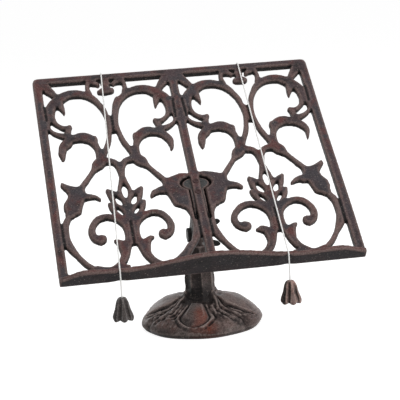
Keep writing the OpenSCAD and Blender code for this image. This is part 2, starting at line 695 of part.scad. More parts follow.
// A fluted bell on the end of its cord, with a pocket below for the knot it hangs on
module page_weight(route) {
    top = on_slope(route[len(route) - 1]);
    lip_r = weight_d / 2;
    top_r = weight_top_d / 2;
    profile = curve([
        [lip_r - 0.8, 0], [lip_r, 0.12 * weight_h], [lip_r - 1, 0.38 * weight_h], [lip_r - 3, 0.66 * weight_h],
        [top_r, 0.88 * weight_h], [0.65 * top_r, 0.98 * weight_h], [0.4 * top_r, weight_h]
    ], 2);
    groove_r = 0.22 * lip_r;
    side_lean = atan((lip_r - top_r) / weight_h);
    color(iron) translate([top[0], top[1], weight_top_z - weight_h]) difference() {
        rotate_extrude() polygon(concat(profile, [[0, weight_h], [0, 0]]));
        for (i = [0:weight_flutes - 1]) rotate([0, 0, 360 * (i + 0.5) / weight_flutes])
            translate([0, -lip_r - 0.6, -1]) rotate([-side_lean, 0, 0])
                cylinder(r = groove_r, h = 1.4 * weight_h);
        for (i = [0:weight_flutes - 1]) rotate([0, 0, 360 * (i + 0.5) / weight_flutes])
            translate([0, -lip_r, -1.2]) sphere(r = 2.6);
        translate([0, 0, -1]) cylinder(d = knot_d + pocket_gap, h = knot_room + 1);
        cylinder(r = cord_d / 2 + cord_gap, h = weight_h + 1);
    }
}

foot();
stem();
foot_bolt();
foot_washer();
pivot_bolt();
pivot_washer();
wing_nut();
tilt_bracket();
bracket_screws();
rest_frame();
book_ledge();
scrollwork(true) vine_outline(false);  // left_outer_vine
scrollwork(true) vine_outline(true);  // left_inner_vine
scrollwork(true) palmette_outline();  // left_palmette
scrollwork(true) crest_outline();  // left_crest
scrollwork(false) vine_outline(false);  // right_outer_vine
scrollwork(false) vine_outline(true);  // right_inner_vine
scrollwork(false) palmette_outline();  // right_palmette
scrollwork(false) crest_outline();  // right_crest
cord_run(left_route);  // left_cord_run
cord_drop(left_route);  // left_cord_drop
cord_knot(left_route);  // left_cord_knot
page_weight(left_route);  // left_weight
weight_knot(left_route);  // left_weight_knot
cord_run(right_route);  // right_cord_run
cord_drop(right_route);  // right_cord_drop
cord_knot(right_route);  // right_cord_knot
page_weight(right_route);  // right_weight
weight_knot(right_route);  // right_weight_knot
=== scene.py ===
import math

import bmesh
import bpy
import numpy as np
from mathutils import Matrix, Vector, kdtree, noise


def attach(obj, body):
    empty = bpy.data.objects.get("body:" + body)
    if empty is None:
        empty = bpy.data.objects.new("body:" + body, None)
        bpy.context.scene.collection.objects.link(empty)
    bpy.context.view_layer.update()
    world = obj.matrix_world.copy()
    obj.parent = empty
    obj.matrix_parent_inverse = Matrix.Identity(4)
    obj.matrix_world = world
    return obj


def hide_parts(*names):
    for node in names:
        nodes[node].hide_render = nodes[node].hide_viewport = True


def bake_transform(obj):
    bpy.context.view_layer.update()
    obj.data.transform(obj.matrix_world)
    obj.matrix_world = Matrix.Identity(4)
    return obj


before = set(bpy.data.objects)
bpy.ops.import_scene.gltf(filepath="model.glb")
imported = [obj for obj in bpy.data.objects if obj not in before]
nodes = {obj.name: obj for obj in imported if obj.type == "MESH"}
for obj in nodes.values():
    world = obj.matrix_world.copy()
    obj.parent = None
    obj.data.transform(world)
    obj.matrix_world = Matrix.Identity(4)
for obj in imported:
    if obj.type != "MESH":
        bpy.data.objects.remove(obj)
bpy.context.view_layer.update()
scene = bpy.context.scene
MM = 0.001

# Panel frame, as in the part: u to the right, s up the slope, n forward from the front face
LEAN = math.radians(50)
SLOPE = np.array([0, math.sin(LEAN), math.cos(LEAN)])
FORWARD = np.array([0, -math.cos(LEAN), math.sin(LEAN)])
PIVOT = np.array([0, 0, 95]) * MM
PIVOT_S, PIVOT_BEHIND = 84, 54
PANEL_ORIGIN = PIVOT - PIVOT_S * MM * SLOPE + PIVOT_BEHIND * MM * FORWARD

# The open window in each half of the frame, and the depths between which the scrolls lie
WINDOW_U = (4.5, 141)
WINDOW_S = (8, 265)
SCROLL_FRONT, SCROLL_BACK = -0.8, -6.6


def on_slope(p):
    """A point in panel millimetres, in the row frame in metres."""
    return PANEL_ORIGIN + np.array([p[0] * MM, 0, 0]) + p[1] * MM * SLOPE + p[2] * MM * FORWARD


def panel_coords(co):
    """u, s and n of points in the row frame, in millimetres."""
    rel = (co - PANEL_ORIGIN) / MM
    return rel[:, 0], rel @ SLOPE, rel @ FORWARD


# Camera, fitted to the photograph
AZIMUTH, ELEVATION, ROLL = math.radians(-9.24), math.radians(10.31), math.radians(-3.57)
DISTANCE, FOCAL_PX, IMAGE_PX = 1.4507, 1412.8, 400
SENSOR_MM = 36
TARGET = np.array([0.00557, 0, 0.13043])
back = np.array([math.sin(AZIMUTH) * math.cos(ELEVATION), -math.cos(AZIMUTH) * math.cos(ELEVATION),
                 math.sin(ELEVATION)])
right = np.array([math.cos(AZIMUTH), math.sin(AZIMUTH), 0])
up = np.cross(back, right)
rolled_right = math.cos(ROLL) * right + math.sin(ROLL) * up
rolled_up = -math.sin(ROLL) * right + math.cos(ROLL) * up
camera_data = bpy.data.cameras.new("camera")
camera_data.sensor_width = SENSOR_MM
camera_data.lens = FOCAL_PX / IMAGE_PX * SENSOR_MM
camera_data.clip_end = 100
camera = bpy.data.objects.new("camera", camera_data)
scene.collection.objects.link(camera)
place = np.identity(4)
place[:3, 0] = rolled_right
place[:3, 1] = rolled_up
place[:3, 2] = back
place[:3, 3] = TARGET + DISTANCE * back
camera.matrix_world = Matrix(place.tolist())
scene.camera = camera


class Shader:
    """A procedural material, built node by node."""

    # Sockets of the Mix node in its colour mode: factor and both colours, and the result
    MIX_IN = (0, 6, 7)
    MIX_OUT = 2

    def __init__(self, name):
        self.material = bpy.data.materials.new(name)
        self.material.use_nodes = True
        self.tree = self.material.node_tree
        self.surface = self.tree.nodes["Principled BSDF"]
        self.coords = self.add("ShaderNodeTexCoord").outputs["Object"]

    def add(self, kind, **values):
        """Adds a node and sets its properties or inputs by name."""
        node = self.tree.nodes.new(kind)
        for key, value in values.items():
            if hasattr(node, key):
                setattr(node, key, value)
            else:
                node.inputs[key].default_value = value
        return node

    def link(self, a, b):
        self.tree.links.new(a, b)

    def grain(self, scale, detail=4, rough=0.6, stretch=None):
        """Noise in the object's own coordinates."""
        node = self.add("ShaderNodeTexNoise", Scale=scale, Detail=detail, Roughness=rough)
        source = self.coords
        if stretch:
            mapping = self.add("ShaderNodeMapping", Scale=stretch)
            self.link(source, mapping.inputs["Vector"])
            source = mapping.outputs["Vector"]
        self.link(source, node.inputs["Vector"])
        return node.outputs["Fac"]

    def ramp(self, value, *stops):
        """Colours or greys at the given stops of a value."""
        node = self.add("ShaderNodeValToRGB")
        elements = node.color_ramp.elements
        while len(elements) < len(stops):
            elements.new(0.5)
        for element, (at, colour) in zip(elements, stops):
            element.position = at
            element.color = (*colour, 1) if isinstance(colour, tuple) else (colour, colour, colour, 1)
        self.link(value, node.inputs["Fac"])
        return node.outputs["Color"]

    def mix(self, factor, a, b, blend="MIX"):
        """Mixes two colours. Each argument is a value or another node's output."""
        node = self.add("ShaderNodeMix", data_type="RGBA", blend_type=blend)
        for at, value in zip(self.MIX_IN, (factor, a, b)):
            socket = node.inputs[at]
            if isinstance(value, (int, float)):
                socket.default_value = value
            elif isinstance(value, tuple):
                socket.default_value = (*value, 1)
            else:
                self.link(value, socket)
        return node.outputs[self.MIX_OUT]

    def attribute(self, name):
        """A number marked on the mesh."""
        return self.add("ShaderNodeAttribute", attribute_name=name).outputs["Fac"]

    def bump(self, value, strength, distance, under=None):
        node = self.add("ShaderNodeBump", Strength=strength, Distance=distance)
        self.link(value, node.inputs["Height"])
        if under:
            self.link(under, node.inputs["Normal"])
        return node.outputs["Normal"]

    def finish(self, colour=None, rough=None, normal=None, **constants):
        """Links the results to the surface, sets its other inputs and returns the material."""
        if colour:
            self.link(colour, self.surface.inputs["Base Color"])
        if rough:
            self.link(rough, self.surface.inputs["Roughness"])
        if normal:
            self.link(normal, self.surface.inputs["Normal"])
        for key, value in constants.items():
            self.surface.inputs[key.replace("_", " ")].default_value = value
        return self.material


# Painted shade for corners and creases, pale specks, and how much the gloss mark lowers roughness
CORNER_SHADE = (0.005, 0.0045, 0.0045)
PALE_SPECK = (0.24, 0.2, 0.175)
GLOSS_GAIN = 0.16


def cast_iron(name, grey, brown, red, dark_and_shade, worn_and_highlight=(0.18, 0.125, 0.115)):
    """Old cast iron: rubbed to grey and brown on its faces, rusty in patches, near black in its walls as
    painted shade.

    It reads marks on the mesh: one for rubbed faces that also carries painted light on faces turned to the
    lamps, rust and calm for more and less red, edge for ridges with wear and painted highlights and for
    corners with painted shade, and gloss.
    """
    s = Shader(name)
    patches = s.ramp(s.grain(34, 4, 0.6), (0.42, 0.0), (0.6, 1.0))
    face = s.mix(patches, grey, brown)
    rust = s.add("ShaderNodeMath", operation="ADD", use_clamp=True)
    s.link(s.ramp(s.grain(30, 6, 0.66), (0.5, 0.0), (0.6, 0.95)), rust.inputs[0])
    s.link(s.attribute("rust"), rust.inputs[1])
    face = s.mix(rust.outputs[0], face, s.mix(s.attribute("calm"), red, grey))
    stains = s.ramp(s.grain(37, 6, 0.68, (1.0, 0.7, 1.2)), (0.52, 0.0), (0.64, 0.7))
    face = s.mix(stains, face, dark_and_shade)
    # The face colour where faces are rubbed and lit, the dark colour elsewhere, which paints shade on the
    # walls
    colour = s.mix(s.attribute("rub_and_light"), dark_and_shade, face)
    edge = s.attribute("edge")
    # Ridges take the worn colour, partly wear and partly painted highlight, and corners take painted shade
    colour = s.mix(s.ramp(edge, (0.6, 0.0), (0.95, 0.7)), colour, worn_and_highlight)
    colour = s.mix(s.ramp(edge, (0.12, 0.9), (0.45, 0.0)), colour, CORNER_SHADE)
    mottle = s.ramp(s.grain(800, 3, 0.7), (0.35, 0.55), (0.65, 1.4))
    colour = s.mix(1.0, colour, mottle, "MULTIPLY")
    specks = s.ramp(s.grain(620, 1, 0.5), (0.65, 0.0), (0.73, 0.5))
    colour = s.mix(specks, colour, PALE_SPECK)
    rough = s.add("ShaderNodeMath", operation="MULTIPLY_ADD")
    s.link(s.attribute("gloss"), rough.inputs[0])
    rough.inputs[1].default_value = -GLOSS_GAIN
    s.link(s.ramp(s.grain(160, 4, 0.6), (0.3, 0.38), (0.7, 0.58)), rough.inputs[2])
    normal = s.bump(s.grain(1500, 3, 0.65), 0.35, 0.0003)
    normal = s.bump(s.grain(330, 4, 0.55), 0.4, 0.0008, normal)
    return s.finish(colour, rough.outputs[0], normal, Specular_IOR_Level=0.1)


def screw_iron(name):
    """Dull reddish iron for the screw heads."""
    s = Shader(name)
    colour = s.ramp(s.grain(420, 4, 0.6), (0.3, (0.028, 0.016, 0.016)), (0.7, (0.07, 0.036, 0.035)))
    normal = s.bump(s.grain(1400, 3, 0.6), 0.3, 0.0002)
    return s.finish(colour, None, normal, Roughness=0.55, Specular_IOR_Level=0.15)


def black_steel(name):
    """Blackened steel for bolts, washers and the wing nut."""
    s = Shader(name)
    colour = s.ramp(s.grain(240, 4, 0.6), (0.3, (0.006, 0.0055, 0.0055)), (0.7, (0.015, 0.014, 0.013)))
    rough = s.ramp(s.grain(500, 3, 0.6), (0.3, 0.38), (0.7, 0.6))
    normal = s.bump(s.grain(1400, 3, 0.6), 0.25, 0.0002)
    return s.finish(colour, rough, normal, Specular_IOR_Level=0.2)


def white_cord(name):
    """Matt white cotton."""
    s = Shader(name)
    colour = s.ramp(s.grain(1800, 3, 0.6), (0.3, (0.78, 0.77, 0.74)), (0.6, (0.95, 0.945, 0.93)))
    normal = s.bump(s.grain(4200, 2, 0.5), 0.4, 0.0002)
    return s.finish(colour, None, normal, Roughness=0.85)


IRON = cast_iron("cast_iron", (0.046, 0.04, 0.045), (0.062, 0.042, 0.045), (0.099, 0.04, 0.037),
                 (0.012, 0.0105, 0.0105))
# A lighter copy of the iron for the pedestal, so that its lobes and ridges show painted light and sheen
PEDESTAL_IRON_LIT = cast_iron("pedestal_iron_lit", (0.175, 0.145, 0.138), (0.205, 0.145, 0.13), (0.23, 0.068, 0.045),
                          (0.011, 0.0095, 0.0095), (0.36, 0.29, 0.265))
LEFT_IRON = cast_iron("left_weight_iron", (0.088, 0.083, 0.083), (0.1, 0.088, 0.085), (0.1, 0.085, 0.08),
                      (0.012, 0.0115, 0.0115), (0.26, 0.24, 0.235))
# A lighter copy of the iron for the right weight, partly its redder tone and partly painted light from the
# lamps at the right
RIGHT_IRON_LIT = cast_iron("right_weight_iron_lit", (0.27, 0.19, 0.17), (0.36, 0.215, 0.185), (0.36, 0.185, 0.15),
                       (0.01, 0.008, 0.0075), (0.42, 0.31, 0.27))
# The bracket's lighter face colour shows only on the seat, as painted light
BRACKET_IRON = cast_iron("bracket_iron", (0.15, 0.15, 0.155), (0.155, 0.15, 0.148), (0.16, 0.145, 0.14),
                         (0.034, 0.035, 0.035))
SCREW = screw_iron("screw_iron")
STEEL = black_steel("black_steel")
CORD = white_cord("white_cord")


# Number helpers
def step_up(a, b, x):
    """0 below a, 1 above b and smooth between them."""
    t = np.clip((x - a) / (b - a), 0, 1)
    return t * t * (3 - 2 * t)


def crest(x, at, width):
    """1 at a place and fading on both sides of it."""
    return np.exp(-((x - at) / width) ** 2)


def noise_at(co, scale, seed):
    return np.array([noise.noise(Vector(p) * scale + Vector((seed, 0, 0))) for p in co])


SPLINE_STEPS = 24


def spline(points, step):
    """A smooth line through points, resampled at an even step, and its length."""
    p = np.array(points, float)
    padded = np.vstack([2 * p[0] - p[1], p, 2 * p[-1] - p[-2]])
    dense = []
    for i in range(len(p) - 1):
        a, b, c, d = padded[i:i + 4]
        for t in np.linspace(0, 1, SPLINE_STEPS, endpoint=False):
            dense.append(0.5 * (2 * b + (c - a) * t + (2 * a - 5 * b + 4 * c - d) * t * t
                                + (3 * b - a - 3 * c + d) * t ** 3))
    dense = np.array(dense + [p[-1]])
    along = np.concatenate([[0], np.cumsum(np.linalg.norm(np.diff(dense, axis=0), axis=1))])
    count = max(4, int(along[-1] / step))
    at = np.linspace(0, along[-1], count + 1)
    return np.column_stack([np.interp(at, along, dense[:, k]) for k in range(3)]), along[-1]


# Mesh helpers
WELD = 1e-6
STROKE_SIDES = 16
ROUNDING = 2


def smooth(mesh):
    mesh.polygons.foreach_set("use_smooth", [True] * len(mesh.polygons))


def add_mesh(name, verts, faces, material):
    mesh = bpy.data.meshes.new(name)
    mesh.from_pydata([tuple(map(float, v)) for v in verts], [], faces)
    mesh.update()
    obj = bpy.data.objects.new(name, mesh)
    scene.collection.objects.link(obj)
    mesh.materials.append(material)
    return obj


def points_of(mesh):
    co = np.empty(len(mesh.vertices) * 3, np.float32)
    mesh.vertices.foreach_get("co", co)
    return co.reshape(-1, 3).astype(float)


def set_points(mesh, co):
    mesh.vertices.foreach_set("co", co.astype(np.float32).ravel())
    mesh.update()


def normals_of(mesh):
    n = np.empty(len(mesh.vertices) * 3, np.float32)
    mesh.vertices.foreach_get("normal", n)
    return n.reshape(-1, 3).astype(float)


def edges_of(mesh):
    e = np.empty(len(mesh.edges) * 2, np.int32)
    mesh.edges.foreach_get("vertices", e)
    return e.reshape(-1, 2)


def neighbour_mean(values, edges):
    """Mean of each vertex's neighbours along the edges."""
    n = len(values)
    count = np.bincount(edges.ravel(), minlength=n)
    out = np.empty_like(values)
    for axis in range(values.shape[1]):
        total = np.bincount(edges[:, 0], values[edges[:, 1], axis], n)
        total += np.bincount(edges[:, 1], values[edges[:, 0], axis], n)
        out[:, axis] = total / np.maximum(count, 1)
    return out


def relax(mesh, rounds, factor=0.5):
    """Rounds a mesh by drawing each vertex towards its neighbours."""
    co, edges = points_of(mesh), edges_of(mesh)
    for _ in range(rounds):
        co += factor * (neighbour_mean(co, edges) - co)
    set_points(mesh, co)


def mark(mesh, name, value):
    """Writes a per-vertex number that the materials read."""
    attribute = mesh.attributes.new(name, "FLOAT", "POINT")
    attribute.data.foreach_set("value", np.clip(value, 0, 1).astype(np.float32))


def mark_edges(mesh, reach, rounds=3, keep=1):
    """Writes the mark edge: 0.5 on flat iron, more on ridges and less in corners, weakened by keep."""
    co, edges, normal = points_of(mesh), edges_of(mesh), normals_of(mesh)
    bulge = np.einsum("ij,ij->i", co - neighbour_mean(co, edges), normal)[:, None]
    for _ in range(rounds):
        bulge = 0.5 * bulge + 0.5 * neighbour_mean(bulge, edges)
    mark(mesh, "edge", 0.5 + 0.5 * keep * bulge[:, 0] / reach)


def pour(part, whole):
    """Moves one bmesh into another."""
    copy = bpy.data.meshes.new("copy")
    part.to_mesh(copy)
    part.free()
    whole.from_mesh(copy)
    bpy.data.meshes.remove(copy)


def add_strokes(whole, strokes, front, back):
    """Adds tapered strokes, given as (u, s, width) points of the panel, between two depths."""
    turns = np.linspace(0, 2 * math.pi, STROKE_SIDES, endpoint=False)
    for line in strokes:
        for a, b in zip(line, line[1:]):
            piece = bmesh.new()
            for u, s, width in (a, b):
                for turn in turns:
                    for depth in (front, back):
                        place = (u + width / 2 * math.cos(turn), s + width / 2 * math.sin(turn), depth)
                        piece.verts.new(on_slope(place))
            bmesh.ops.convex_hull(piece, input=piece.verts)
            bmesh.ops.recalc_face_normals(piece, faces=piece.faces)
            pour(piece, whole)


def fused(name, names, voxel, rounds, material, grow=0.0, strokes=()):
    """One mesh that stands for several touching CAD nodes, with rounded edges and fuller strokes."""
    whole = bmesh.new()
    add_strokes(whole, strokes, SCROLL_FRONT, SCROLL_BACK)
    for node in names:
        part = bmesh.new()
        part.from_mesh(nodes[node].data)
        bmesh.ops.remove_doubles(part, verts=part.verts, dist=WELD)
        part.normal_update()
        for vert in part.verts:
            vert.co += vert.normal * grow
        pour(part, whole)
    mesh = bpy.data.meshes.new(name)
    whole.to_mesh(mesh)
    whole.free()
    obj = bpy.data.objects.new(name, mesh)
    scene.collection.objects.link(obj)
    modifier = obj.modifiers.new("fuse", "REMESH")
    modifier.mode = "VOXEL"
    modifier.voxel_size = voxel
    graph = bpy.context.evaluated_depsgraph_get()
    result = bpy.data.meshes.new_from_object(obj.evaluated_get(graph))
    obj.modifiers.clear()
    obj.data = result
    bpy.data.meshes.remove(mesh)
    result.name = name
    relax(result, rounds)
    result.materials.clear()
    result.materials.append(material)
    smooth(result)
    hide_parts(*names)
    return obj


# Cords: the routes repeat the part's, in panel millimetres
LEFT_ROUTE = [
    (-76, 266, -10), (-76, 269, -10.2), (-76, 272, -9.6), (-76, 274, -7.4), (-76, 274.8, -4.4),
    (-76, 274.4, -1.4), (-76, 272.4, 0.8), (-76.2, 269, 1.4), (-77.2, 253, 1.8), (-79, 223, 2.6),
    (-82.8, 161, 4.4), (-86.6, 99, 6.2), (-89.2, 55, 7.4), (-92, 10, 8.6), (-92.4, 3, 8.8),
    (-92.5, 1, 8.8), (-92.5, 0.2, 8.7), (-92.5, -0.6, 8.2), (-92.5, -1.4, 7.3),
]
RIGHT_ROUTE = [
    (74, 266, -10), (74, 269, -10.2), (74, 272, -9.6), (74, 274, -7.4), (74, 274.8, -4.4),
    (74, 274.4, -1.4), (74, 272.4, 0.8), (74, 269, 1.4), (73.8, 253, 1.9), (73.6, 223, 2.8),
    (73.2, 161, 4.8), (72.8, 99, 6.6), (72.4, 55, 8), (72, 10, 9.2), (72, 3, 9.4),
    (72, 1, 9.4), (72, 0.2, 9.3), (72, -0.6, 8.8), (72, -1.4, 7.9),
]
CORD_D = 1.5 * MM
CORD_STEP = 0.7 * MM
CORD_SIDES = 12
CORD_STRANDS = 3
CORD_TWIST = 4.2 * MM
CORD_END_Z = 46.7 * MM
DROP_STEPS = 12

# How far the strands' furrows go in, as a share of the radius
STRAND_DEPTH = 0.07

# Knots: points along the line, sides of the tube, how wide the loops lie, size, and drop under the cord's end
KNOT_POINTS, KNOT_SIDES = 90, 8
KNOT_LOOPS = 1.5
KNOT_SIZE = 0.42 * MM
KNOT_DROP = 1.9 * MM


def rope(name, line, diameter, material, sides=CORD_SIDES):
    """A twisted cord along a line of points."""
    line = np.array(line)
    way = np.gradient(line, axis=0)
    way /= np.linalg.norm(way, axis=1)[:, None]
    along = np.concatenate([[0], np.cumsum(np.linalg.norm(np.diff(line, axis=0), axis=1))])
    side = np.cross(way[0], [1, 0, 0])
    verts, faces = [], []
    for i, centre in enumerate(line):
        side = side - way[i] * (side @ way[i])
        side /= np.linalg.norm(side)
        across = np.cross(way[i], side)
        twist = 2 * math.pi * along[i] / CORD_TWIST / CORD_STRANDS
        for k in range(sides):
            a = 2 * math.pi * k / sides
            lobe = 1 - STRAND_DEPTH + STRAND_DEPTH * math.cos(CORD_STRANDS * (a - twist))
            verts.append(centre + diameter / 2 * lobe * (math.cos(a) * side + math.sin(a) * across))
    for i in range(len(line) - 1):
        for k in range(sides):
            a, b = i * sides + k, i * sides + (k + 1) % sides
            faces.append((a, b, b + sides, a + sides))
    faces.append(tuple(range(sides - 1, -1, -1)))
    faces.append(tuple((len(line) - 1) * sides + k for k in range(sides)))
    obj = add_mesh(name, verts, faces, material)
    smooth(obj.data)
    return obj


def tied_knot(name, centre):
    """An overhand knot pulled tight."""
    turns = np.linspace(0, 2 * math.pi, KNOT_POINTS, endpoint=True)
    line = np.column_stack([
        np.sin(turns) + KNOT_LOOPS * np.sin(2 * turns),
        np.cos(turns) - KNOT_LOOPS * np.cos(2 * turns),
        -np.sin(3 * turns),
    ]) * KNOT_SIZE
    return rope(name, line + np.array(centre), CORD_D, CORD, KNOT_SIDES)


for label, route in (("left", LEFT_ROUTE), ("right", RIGHT_ROUTE)):
    run = [on_slope(p) for p in route]
    bend = run[-1]
    drop = [np.array([bend[0], bend[1], bend[2] + (CORD_END_Z - bend[2]) * k / DROP_STEPS])
            for k in range(1, DROP_STEPS + 1)]
    path, length = spline(run + drop, CORD_STEP)
    cord = rope(label + "_cord", path, CORD_D, CORD)
    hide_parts(label + "_cord_run", label + "_cord_drop")
    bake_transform(cord)
    upper = tied_knot(label + "_cord_tie", run[0])
    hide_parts(label + "_cord_knot")
    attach(upper, "bookrest")
    lower = tied_knot(label + "_weight_tie", (bend[0], bend[1], CORD_END_Z - KNOT_DROP))
    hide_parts(label + "_weight_knot")
    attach(lower, label + "_plumb")


# The bookrest casting: frame, ledge and scrollwork as one piece with rounded strokes
SCROLLS = [side + part for side in ("left_", "right_")
           for part in ("outer_vine", "inner_vine", "palmette", "crest")]
REST_VOXEL = 1.0 * MM
REST_GROW = 0.18 * MM
REST_BULGE = 0.075 * MM

# Strokes that are fuller on the casting than in the part, as (u, s, width) in panel millimetres
BUD = [(134, 121.4, 4.6), (129.3, 116.4, 6.6), (125, 110.5, 9.5), (124, 102.5, 14), (126.8, 94, 18.5)]
BASE = [(112, 13, 4.4), (104, 10.2, 4.4), (92, 9.2, 4.4), (82, 11, 4.4)]
FULLER = [
    [(-122, 178, 10), (-128, 172, 9), (-129.5, 165, 8.4), (-129.2, 159, 5.2), (-129.6, 156.6, 3)],
    [(23, 179, 10), (17.5, 172.5, 9), (16.2, 165, 8), (15.9, 159.5, 4.6), (15.8, 158, 3.4)],
    [(-22, 180, 9), (-17.4, 172, 7), (-15.9, 165, 5.6), (-15.9, 160.5, 3.2)],
    [(-62.5, 236, 7), (-66.3, 226, 7), (-69, 214, 6.4), (-69.4, 205, 5.8)],
    [(-18.5, 32, 5.6), (-25.3, 22.5, 6), (-33, 15.2, 6), (-41, 11.2, 6), (-52, 10, 5)],
    [(-112, 14, 5), (-104, 11.2, 5.2), (-92, 10.4, 5.2), (-82, 12, 5)],
    [(-81.2, 248.4, 4.6), (-77.5, 246.6, 3.6), (-73, 247, 4)],
    [(-47, 98, 3.4), (-43.8, 102, 6.4), (-39, 104, 7), (-33, 105, 10)],
    [(97.8, 98.6, 3), (101.3, 101, 4.6), (106, 102.6, 5.8), (112, 102.6, 9)],
    [(46, 97.8, 1.6), (42, 100.6, 3.4), (37, 102.4, 5.2), (31, 103.5, 9)],
    [(-24, 116.5, 5), (-19, 119.8, 5), (-13.6, 121.8, 5.4), (-9, 120.5, 5)],
    [(6, 120.8, 5), (10.4, 122, 5.6), (14, 119.8, 5), (21, 116.8, 5)],
    [(-52.6, 45.6, 2), (-56.2, 45, 5), (-60, 41, 8)],
    [(50.4, 42.4, 2.6), (53.4, 42.6, 5), (58.5, 41, 8)],
]
for side in (-1, 1):
    FULLER += [[(side * u, s, width) for u, s, width in line] for line in (BUD, BASE)]

# Places where the casting's lines lie beside the part's: u, s, their shift along both, and its reach
SHIFTS = [
    (36, 58, -3.4, 0, 15), (58, 96, -1.8, 0, 10), (-36, 184, 0, 1.3, 11), (-46, 68, 0.4, 1.0, 15),
    (-62, 230, -0.6, 0, 10),
]

# Dark lines where two strokes lie side by side, as (distance from the middle, s)
GROOVES = [
    [(72.75, 37), (72.75, 66)], [(140.4, 39), (140.6, 86)], [(5.8, 37), (5.8, 66)],
    [(73.2, 188), (72.8, 212)], [(140.6, 210), (141.2, 232)], [(5.9, 202), (5.0, 227)],
]
GROOVE_WIDTH, GROOVE_DEPTH = 1.0, 2.0

# The lower right corner reaches further out, and the ledge further down except under the cords
CORNER_OUT = 1.7
LEDGE_DEEPER, CORD_CLEAR = 1.0, 5

# Strokes are crowned over a reach, and all edges drop off over a shorter one
CROWN, CROWN_REACH = 0.75, 2.6
STROKE_DROP, FRAME_DROP, DROP_REACH = 0.9, 0.7, 0.8
FACE_N, WALL_N = -4, (-3.2, -1.2)
LEDGE_S = 5
PIT_DEPTH, PIT_SCALE, PIT_SEED = 0.09, 260, 3.0

# The direction towards the lamps for the painted light on faces, the rub of the ledge's underside and of the
# back, and other marks
LIGHT_WAY = 0.9 * FORWARD + 0.44 * SLOPE
UNDERSIDE_RUB, BACK_RUB = 0.36, 0.55
GROOVE_SHADE = 0.85
LEDGE_RUST = 0.75


def wall_tree(u, s, n, normal):
    """A search tree over the walls just under the front face, in panel millimetres."""
    walls = np.nonzero((abs(normal @ FORWARD) < 0.5) & (n > WALL_N[0]) & (n < WALL_N[1]))[0]
    tree = kdtree.KDTree(len(walls))
    for i in walls:
        tree.insert((u[i], s[i], 0), int(i))
    tree.balance()
    return tree


def groove_at(u, s):
    """How near each place lies to a groove: 1 on its line and fading over its width."""
    near = np.full(len(u), 1e3)
    for (u0, s0), (u1, s1) in GROOVES:
        along = ((abs(u) - u0) * (u1 - u0) + (s - s0) * (s1 - s0)) / math.dist((u0, s0), (u1, s1)) ** 2
        along = np.clip(along, 0, 1)
        near = np.minimum(near, np.hypot(abs(u) - u0 - along * (u1 - u0), s - s0 - along * (s1 - s0)))
    return crest(near, 0, GROOVE_WIDTH)


rest = fused("rest_casting", ["rest_frame", "book_ledge"] + SCROLLS, REST_VOXEL, ROUNDING, IRON, REST_GROW,
             FULLER)
mesh = rest.data
co = points_of(mesh)
u, s, n = panel_coords(co)
for at_u, at_s, along_u, along_s, reach in SHIFTS:
    near = np.exp(-((u - at_u) ** 2 + (s - at_s) ** 2) / reach ** 2)[:, None]
    co += near * MM * (along_u * np.array([1, 0, 0]) + along_s * SLOPE)
corner = step_up(130, 145, u) * (1 - step_up(40, 190, s))
co[:, 0] += CORNER_OUT * corner * MM
deeper = 1 - step_up(0.2, 2.0, s)
for route in (LEFT_ROUTE, RIGHT_ROUTE):
    deeper *= 1 - crest(u, route[-1][0], CORD_CLEAR)
co -= (LEDGE_DEEPER * deeper * MM)[:, None] * SLOPE
set_points(mesh, co)

# Crowned strokes, dropped edges and grooves
u, s, n = panel_coords(co)
inside = (abs(u) > WINDOW_U[0]) & (abs(u) < WINDOW_U[1]) & (s > WINDOW_S[0]) & (s < WINDOW_S[1])
walls = wall_tree(u, s, n, normals_of(mesh))
lift = np.zeros(len(co))
for i in np.nonzero(n > FACE_N)[0]:
    d = walls.find((u[i], s[i], 0))[2]
    if inside[i]:
        lift[i] = CROWN * (1 - math.exp(-d / CROWN_REACH)) - STROKE_DROP * math.exp(-d / DROP_REACH)
    elif s[i] > LEDGE_S:
        lift[i] = -FRAME_DROP * math.exp(-d / DROP_REACH)
groove = groove_at(u, s)
lift = (lift - GROOVE_DEPTH * groove) * step_up(-4.2, -1.0, n)
co += (lift * MM)[:, None] * FORWARD
set_points(mesh, co)
relax(mesh, ROUNDING)
co, normal = points_of(mesh), normals_of(mesh)
co += (noise_at(co, PIT_SCALE, PIT_SEED) * PIT_DEPTH * MM)[:, None] * normal
set_points(mesh, co)

# Faces that look forward and up are lit in colour as painted light, the back and the ledge's underside are
# rubbed less, and walls stay dark as painted shade
mark_edges(mesh, REST_BULGE)
u, s, n = panel_coords(points_of(mesh))
normal = normals_of(mesh)
facing = np.clip(normal @ FORWARD, 0, 1)
toward_light = np.clip(normal @ LIGHT_WAY, 0, 1)
under = step_up(0.3, 0.8, -normal @ SLOPE) * (1 - step_up(2, 5, s))
rub_and_light = np.maximum(step_up(0.35, 0.9, toward_light) * step_up(-4.2, -1.4, n), UNDERSIDE_RUB * under)
# Painted shade in the grooves between strokes
rub_and_light *= 1 - GROOVE_SHADE * groove
mark(mesh, "rub_and_light", np.maximum(rub_and_light, BACK_RUB * step_up(0.6, 0.95, -normal @ FORWARD)))
mark(mesh, "calm", under)
mark(mesh, "rust", LEDGE_RUST * step_up(1.5, 4, n) * facing)
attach(rest, "bookrest")

# Pedestal: stem and foot as one casting, with the foot's leaf relief carved finer
PEDESTAL_VOXEL = 0.75 * MM
PEDESTAL_ROUNDING = 3
PEDESTAL_BULGE = 0.075 * MM
FOOT_TURN = math.radians(-18)
FOOT_PROFILE = [(17.1, 38), (19, 34.4), (24, 30.4), (32, 26.6), (41, 22.8), (49, 18.6), (56, 13.8), (61.2, 9),
                (63.5, 4.5)]
FLUTES, FLUTE_DEPTH = 8, 1.3
STEM_STOUTER = 0.05

